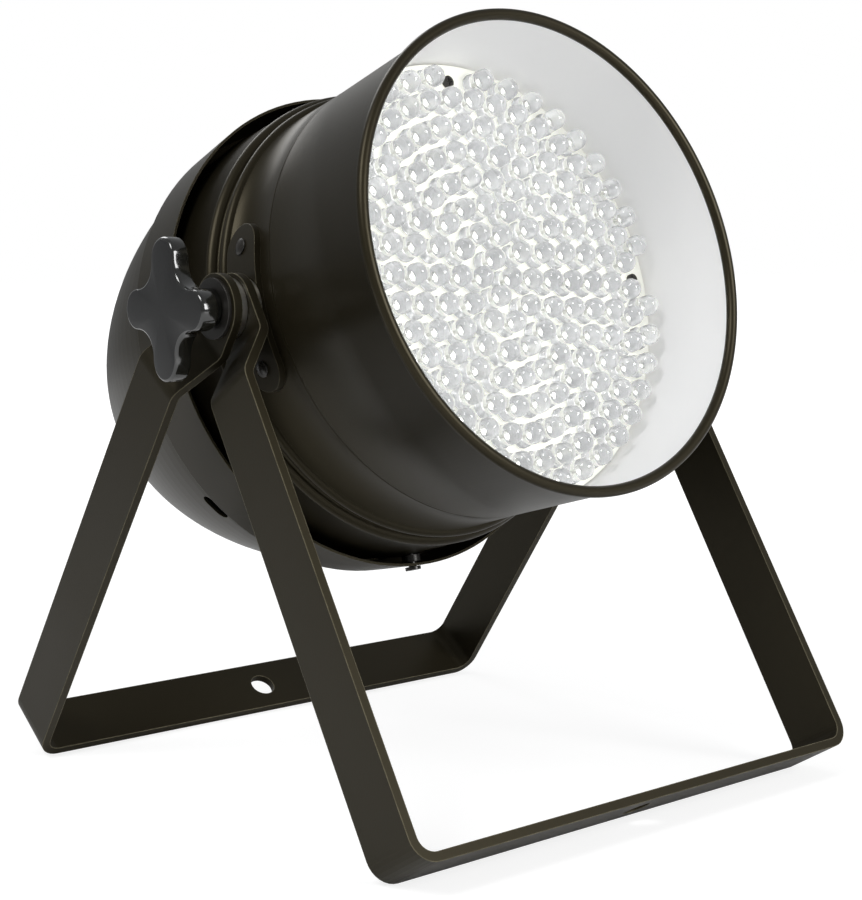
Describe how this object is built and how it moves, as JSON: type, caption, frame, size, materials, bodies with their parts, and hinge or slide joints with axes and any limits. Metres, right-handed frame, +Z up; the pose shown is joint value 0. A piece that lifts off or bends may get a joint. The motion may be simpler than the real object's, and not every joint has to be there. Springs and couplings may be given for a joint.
{
  "type": "par can light",
  "caption": "Spun metal par can with a white-lined mouth full of domed LEDs, hung between two U-shaped yokes that clamp on one pivot with lobed knobs.",
  "frame": {"origin": "centre of the footprint on the floor that both yoke crossbars rest on", "axes": "+Z up, the lamp shines towards -Y, the pivot axis lies along X"},
  "size_m": [0.298, 0.3468, 0.3471],
  "materials": {
    "yoke_paint": "satin black powder coat",
    "can_paint": "satin black paint outside, white inside",
    "housing_paint": "satin black paint",
    "strap_paint": "satin black paint",
    "rivet": "black rivets",
    "zinc": "bright zinc plate",
    "black_screw": "black oxide",
    "knob_plastic": "glossy sides, matt face",
    "brass": "turned",
    "white_board": "white solder mask",
    "led_epoxy": "clear",
    "ring_steel": "zinc plate",
    "green_board": "green solder mask",
    "black_plastic": "moulded",
    "nylon": "natural nylon",
    "ribbon": "grey flat cable",
    "winding": "varnished copper under tape",
    "capacitor": "sleeved",
    "display": "smoked red window",
    "button_grey": "moulded",
    "rubber": "soft"
  },
  "bodies": {
    "front_yoke": {"front_yoke": "yoke_paint"},
    "rear_yoke": {"rear_yoke": "yoke_paint", "middle_washer_left": "zinc", "middle_washer_right": "zinc", "outer_washer_left": "black_screw", "outer_washer_right": "black_screw"},
    "knob_left": {"knob_left": "knob_plastic", "knob_insert_left": "brass"},
    "knob_right": {"knob_right": "knob_plastic", "knob_insert_right": "brass"},
    "button_mode": {"button_mode": "button_grey"},
    "button_down": {"button_down": "button_grey"},
    "button_up": {"button_up": "button_grey"},
    "button_enter": {"button_enter": "button_grey"},
    "can": {"barrel": "can_paint", "rear_housing": "housing_paint", "pivot_strap_left": "strap_paint", "pivot_strap_right": "strap_paint", "strap_rivets_left": "rivet", "strap_rivets_right": "rivet", "pivot_bolt_left": "zinc", "pivot_bolt_right": "zinc", "inner_washer_left": "zinc", "inner_washer_right": "zinc", "led_board": "white_board", "leds": "led_epoxy", "board_ring": "ring_steel", "board_posts": "brass", "board_screws": "black_screw", "dimmer_board": "green_board", "dimmer_posts": "nylon", "dimmer_transistors": "black_plastic", "led_ribbon_cable": "ribbon", "chassis_disc": "zinc", "toroid_transformer": "winding", "toroid_plate": "zinc", "toroid_bolt": "zinc", "supply_board": "green_board", "supply_posts": "nylon", "supply_capacitors": "capacitor", "cap_screws": "rivet", "cap_spacers": "black_screw", "rear_plate": "housing_paint", "rear_plate_screws": "black_screw", "control_board": "green_board", "control_pillars": "zinc", "display_lens": "display", "data_in_socket": "black_plastic", "data_in_pins": "brass", "data_out_socket": "black_plastic", "socket_screws": "black_screw", "cable_gland": "black_plastic", "gland_cap": "black_plastic", "gland_seal": "rubber", "gland_nut": "black_plastic"}
  },
  "joints": [
    {"name": "can_tilt", "type": "hinge", "parent": "front_yoke", "child": "can", "pos_m": [0, -0.03337, 0.21945], "axis": [-1, 0, 0], "range_deg": [-105.9, 74.1]},
    {"name": "rear_yoke_splay", "type": "hinge", "parent": "front_yoke", "child": "rear_yoke", "pos_m": [0, -0.03337, 0.21945], "axis": [1, 0, 0], "range_deg": [-66.8, 113.2]},
    {"name": "knob_left_turn", "type": "hinge", "parent": "can", "child": "knob_left", "pos_m": [0, -0.03337, 0.21945], "axis": [-1, 0, 0], "range_deg": [0, 360]},
    {"name": "knob_right_turn", "type": "hinge", "parent": "can", "child": "knob_right", "pos_m": [0, -0.03337, 0.21945], "axis": [1, 0, 0], "range_deg": [0, 360]},
    {"name": "press_mode", "type": "slide", "parent": "can", "child": "button_mode", "axis": [0, -0.9617, 0.274], "range_m": [0, 0.0008], "stiffness_N_per_m": 800, "springref_m": -0.0006},
    {"name": "press_down", "type": "slide", "parent": "can", "child": "button_down", "axis": [0, -0.9617, 0.274], "range_m": [0, 0.0008], "stiffness_N_per_m": 800, "springref_m": -0.0006},
    {"name": "press_up", "type": "slide", "parent": "can", "child": "button_up", "axis": [0, -0.9617, 0.274], "range_m": [0, 0.0008], "stiffness_N_per_m": 800, "springref_m": -0.0006},
    {"name": "press_enter", "type": "slide", "parent": "can", "child": "button_enter", "axis": [0, -0.9617, 0.274], "range_m": [0, 0.0008], "stiffness_N_per_m": 800, "springref_m": -0.0006}
  ]
}
